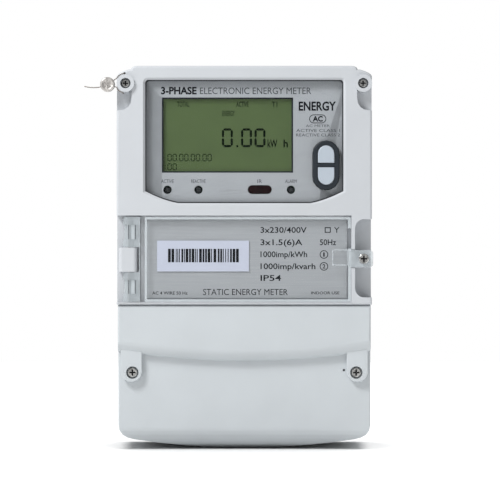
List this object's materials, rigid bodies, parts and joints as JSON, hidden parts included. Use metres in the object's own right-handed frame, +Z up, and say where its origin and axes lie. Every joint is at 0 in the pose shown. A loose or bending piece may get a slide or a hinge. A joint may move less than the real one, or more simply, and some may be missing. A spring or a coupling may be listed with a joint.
{
  "type": "smart electric meter",
  "caption": "Wall-mounted three-phase electricity meter with a display window, a clear hinged door over the rating plate, push buttons and a screwed terminal cover.",
  "frame": {"origin": "centre of the flat back face, at half the case's height", "axes": "+Z up, +Y out of the back towards the wall, so the front faces -Y, and +X to the right seen from the front"},
  "size_m": [0.1923, 0.0777, 0.2556],
  "materials": {
    "cover_plastic": "satin light cool grey",
    "terminal_cover_plastic": "satin light grey",
    "base_plastic": "satin grey",
    "panel_grey": "satin mid grey",
    "clear_plastic": "clear polycarbonate",
    "lcd_green": "grey-green reflective display",
    "backlight": "white diffuser",
    "dark_plastic": "dark blue-grey",
    "button_grey": "satin blue-grey",
    "led_epoxy": "unlit tinted epoxy",
    "infrared_red": "very dark red infrared filter",
    "plate_metal": "printed satin aluminium",
    "label_paper": "printed polyester film",
    "screw_steel": "zinc plated",
    "zinc_steel": "zinc plated sheet",
    "seal_wire_steel": "galvanised seal wire",
    "lead": "dull crimped lead",
    "brass": "machined brass",
    "copper": "bare copper strip",
    "circuit_board": "green solder mask",
    "transformer_core": "black potted core",
    "battery_sleeve": "blue shrink sleeve",
    "block_plastic": "dark moulded insulator"
  },
  "bodies": {
    "base": {"base_case": "base_plastic", "power_board": "circuit_board", "mains_transformer": "transformer_core", "backup_battery": "battery_sleeve", "terminal_block": "block_plastic", "terminal_clamp_1": "brass", "terminal_clamp_2": "brass", "terminal_clamp_3": "brass", "terminal_clamp_4": "brass", "terminal_clamp_5": "brass", "terminal_clamp_6": "brass", "terminal_clamp_7": "brass", "terminal_clamp_8": "brass", "terminal_clamp_9": "brass", "terminal_clamp_10": "brass", "busbar_1": "copper", "current_transformer_1": "transformer_core", "busbar_2": "copper", "current_transformer_2": "transformer_core", "busbar_3": "copper", "current_transformer_3": "transformer_core", "front_cover": "cover_plastic", "cover_screw_left": "screw_steel", "seal_disc": "lead", "seal_wire": "seal_wire_steel", "seal_wire_return": "seal_wire_steel", "main_board": "circuit_board", "lcd_frame": "dark_plastic", "lcd_glass": "lcd_green", "lcd_backlight": "backlight", "display_panel": "panel_grey", "window_lens": "clear_plastic", "led_active": "led_epoxy", "led_reactive": "led_epoxy", "led_alarm": "led_epoxy", "infrared_window": "infrared_red", "button_bezel": "dark_plastic", "rating_plate": "plate_metal", "barcode_label": "label_paper", "hinge_pin": "screw_steel"},
    "hanger": {"hanger_plate": "zinc_steel"},
    "door": {"clear_door": "clear_plastic"},
    "door_screw": {"door_screw": "screw_steel"},
    "button_up": {"button_up": "button_grey"},
    "button_down": {"button_down": "button_grey"},
    "terminal_cover": {"terminal_cover": "terminal_cover_plastic"},
    "terminal_cover_screw_left": {"terminal_cover_screw_left": "screw_steel"},
    "terminal_cover_screw_right": {"terminal_cover_screw_right": "screw_steel"},
    "cover_screw_right": {"cover_screw_right": "screw_steel"},
    "terminal_screw_1": {"terminal_screw_1": "screw_steel"},
    "terminal_screw_2": {"terminal_screw_2": "screw_steel"},
    "terminal_screw_3": {"terminal_screw_3": "screw_steel"},
    "terminal_screw_4": {"terminal_screw_4": "screw_steel"},
    "terminal_screw_5": {"terminal_screw_5": "screw_steel"},
    "terminal_screw_6": {"terminal_screw_6": "screw_steel"},
    "terminal_screw_7": {"terminal_screw_7": "screw_steel"},
    "terminal_screw_8": {"terminal_screw_8": "screw_steel"},
    "terminal_screw_9": {"terminal_screw_9": "screw_steel"},
    "terminal_screw_10": {"terminal_screw_10": "screw_steel"}
  },
  "joints": [
    {"name": "hanger_slide", "type": "slide", "parent": "base", "child": "hanger", "axis": [0, 0, 1], "range_m": [0, 0.014]},
    {"name": "door_hinge", "type": "hinge", "parent": "base", "child": "door", "pos_m": [-0.077, -0.0708, 0], "axis": [0, 0, -1], "range_deg": [0, 115]},
    {"name": "door_screw_turn", "type": "hinge", "parent": "door", "child": "door_screw", "pos_m": [0.0795, -0.075, -0.0007], "axis": [0, -1, 0], "range_deg": [0, 1080]},
    {"name": "button_up_press", "type": "slide", "parent": "base", "child": "button_up", "axis": [0, 1, 0], "range_m": [0, 0.0012], "stiffness_N_per_m": 500},
    {"name": "button_down_press", "type": "slide", "parent": "base", "child": "button_down", "axis": [0, 1, 0], "range_m": [0, 0.0012], "stiffness_N_per_m": 500},
    {"name": "terminal_cover_lift", "type": "slide", "parent": "base", "child": "terminal_cover", "axis": [0, -1, 0], "range_m": [0, 0.06]},
    {"name": "terminal_cover_screw_left_turn", "type": "hinge", "parent": "terminal_cover", "child": "terminal_cover_screw_left", "pos_m": [-0.0747, -0.071, -0.0767], "axis": [0, -1, 0], "range_deg": [0, 1440]},
    {"name": "terminal_cover_screw_right_turn", "type": "hinge", "parent": "terminal_cover", "child": "terminal_cover_screw_right", "pos_m": [0.0747, -0.071, -0.0767], "axis": [0, -1, 0], "range_deg": [0, 1440]},
    {"name": "cover_screw_right_turn", "type": "hinge", "parent": "base", "child": "cover_screw_right", "pos_m": [0.0791, -0.073, 0.1161], "axis": [0, -1, 0], "range_deg": [0, 1440]},
    {"name": "terminal_screw_1_turn", "type": "hinge", "parent": "base", "child": "terminal_screw_1", "pos_m": [-0.0594, -0.031, -0.055], "axis": [0, -1, 0], "range_deg": [0, 1080]},
    {"name": "terminal_screw_2_turn", "type": "hinge", "parent": "base", "child": "terminal_screw_2", "pos_m": [-0.0462, -0.031, -0.055], "axis": [0, -1, 0], "range_deg": [0, 1080]},
    {"name": "terminal_screw_3_turn", "type": "hinge", "parent": "base", "child": "terminal_screw_3", "pos_m": [-0.033, -0.031, -0.055], "axis": [0, -1, 0], "range_deg": [0, 1080]},
    {"name": "terminal_screw_4_turn", "type": "hinge", "parent": "base", "child": "terminal_screw_4", "pos_m": [-0.0198, -0.031, -0.055], "axis": [0, -1, 0], "range_deg": [0, 1080]},
    {"name": "terminal_screw_5_turn", "type": "hinge", "parent": "base", "child": "terminal_screw_5", "pos_m": [-0.0066, -0.031, -0.055], "axis": [0, -1, 0], "range_deg": [0, 1080]},
    {"name": "terminal_screw_6_turn", "type": "hinge", "parent": "base", "child": "terminal_screw_6", "pos_m": [0.0066, -0.031, -0.055], "axis": [0, -1, 0], "range_deg": [0, 1080]},
    {"name": "terminal_screw_7_turn", "type": "hinge", "parent": "base", "child": "terminal_screw_7", "pos_m": [0.0198, -0.031, -0.055], "axis": [0, -1, 0], "range_deg": [0, 1080]},
    {"name": "terminal_screw_8_turn", "type": "hinge", "parent": "base", "child": "terminal_screw_8", "pos_m": [0.033, -0.031, -0.055], "axis": [0, -1, 0], "range_deg": [0, 1080]},
    {"name": "terminal_screw_9_turn", "type": "hinge", "parent": "base", "child": "terminal_screw_9", "pos_m": [0.0462, -0.031, -0.055], "axis": [0, -1, 0], "range_deg": [0, 1080]},
    {"name": "terminal_screw_10_turn", "type": "hinge", "parent": "base", "child": "terminal_screw_10", "pos_m": [0.0594, -0.031, -0.055], "axis": [0, -1, 0], "range_deg": [0, 1080]}
  ]
}
